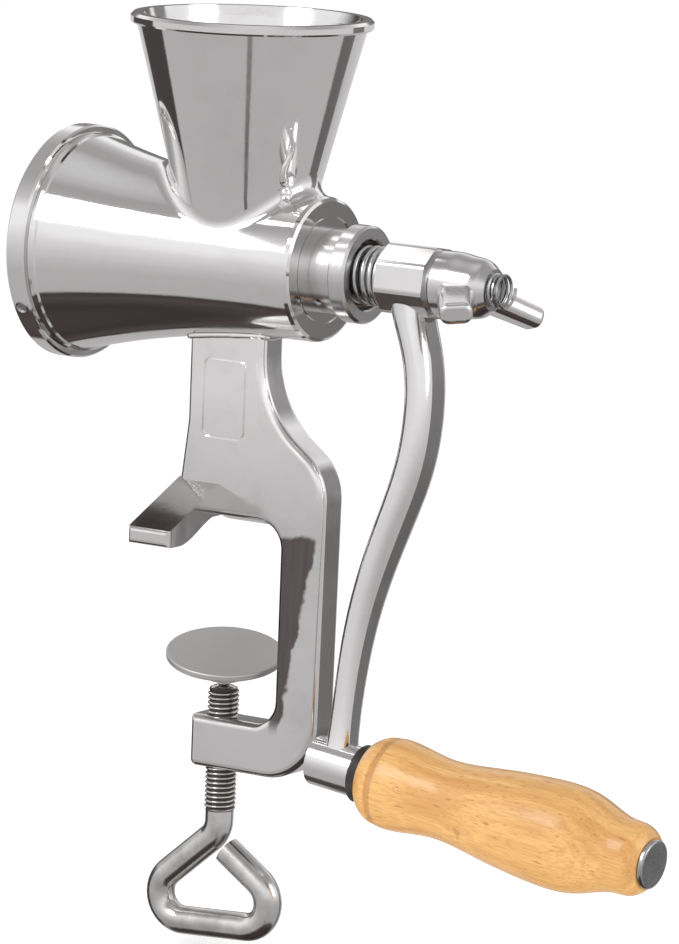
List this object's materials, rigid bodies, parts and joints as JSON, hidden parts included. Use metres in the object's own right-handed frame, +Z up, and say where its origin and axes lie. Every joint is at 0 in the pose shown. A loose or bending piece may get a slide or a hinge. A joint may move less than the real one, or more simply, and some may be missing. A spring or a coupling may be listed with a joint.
{
  "type": "hand crank table mill",
  "caption": "Hand-cranked cast table mill with a conical hopper, bell-shaped grinding barrel, wooden crank grip and a screw clamp for a table edge.",
  "frame": {"origin": "on the clamp screw's axis, in the plane of the two jaw feet that rest on the table top", "axes": "+X along the crank shaft towards the crank, +Z up along the clamp screw, +Y to the side away from the crank's rest position"},
  "size_m": [0.2355, 0.0788, 0.2928],
  "materials": {
    "polished_casting": "mirror polished stainless casting",
    "turned_steel": "turned and lightly polished",
    "fastener_steel": "plain bright fastener steel",
    "clamp_steel": "drawn rod with rolled thread",
    "satin_plate": "satin pressed disc",
    "burr_steel": "as-cast toothed steel",
    "spring_steel": "bright spring wire",
    "bronze": "sintered bronze",
    "black_rubber": "matt black rubber",
    "varnished_wood": "turned beech under clear varnish"
  },
  "bodies": {
    "frame": {"mill_body": "polished_casting", "clamp_frame": "polished_casting", "bearing_housing": "turned_steel", "bearing_set_screw": "fastener_steel", "shaft_bush": "bronze", "grinding_ring": "burr_steel", "ring_screws": "fastener_steel", "crank_spring": "spring_steel"},
    "rotor": {"main_shaft": "turned_steel", "grinding_cone": "burr_steel", "drive_key": "fastener_steel", "cone_washer": "fastener_steel", "cone_bolt": "fastener_steel", "feed_auger": "burr_steel", "thrust_washer": "bronze"},
    "crank": {"crank_arm": "polished_casting", "spring_washer": "fastener_steel", "nut_washer": "black_rubber", "grip_washer": "black_rubber", "grip_bolt": "turned_steel"},
    "grip": {"wooden_grip": "varnished_wood", "grip_sleeve": "bronze"},
    "nut": {"wing_nut": "polished_casting"},
    "clamp_slide": {"swivel_ball": "fastener_steel"},
    "clamp_handle": {"clamp_screw": "clamp_steel"},
    "pad": {"clamp_pad": "satin_plate"}
  },
  "joints": [
    {"name": "crank_turn", "type": "hinge", "parent": "frame", "child": "rotor", "pos_m": [0, 0, 0.087], "axis": [1, 0, 0], "continuous": true},
    {"name": "crank_slide", "type": "slide", "parent": "rotor", "child": "crank", "axis": [1, 0, 0], "range_m": [-0.003, 0], "deforming": ["crank_spring"]},
    {"name": "nut_turn", "type": "hinge", "parent": "crank", "child": "nut", "pos_m": [0.08, 0, 0.087], "axis": [1, 0, 0], "range_deg": [-721, 1]},
    {"name": "grip_spin", "type": "hinge", "parent": "crank", "child": "grip", "pos_m": [0.059, -0.02346, -0.06115], "axis": [0.9936, -0.0177, -0.1118], "continuous": true},
    {"name": "clamp_travel", "type": "slide", "parent": "frame", "child": "clamp_slide", "axis": [0, 0, 1], "range_m": [-0.009, 0.014]},
    {"name": "clamp_turn", "type": "hinge", "parent": "clamp_slide", "child": "clamp_handle", "pos_m": [0, 0, -0.06], "axis": [0, 0, 1], "range_deg": [-2162, 3362]},
    {"name": "pad_tilt", "type": "hinge", "parent": "clamp_slide", "child": "pad", "pos_m": [0, 0, -0.042], "axis": [0.8434, 0.5373, 0], "range_deg": [-28, 0]}
  ],
  "couplings": [
    {"joint": "nut_turn", "follows": "crank_slide", "rad_per_m": 4188.8},
    {"joint": "clamp_turn", "follows": "clamp_travel", "rad_per_m": 4188.8}
  ]
}
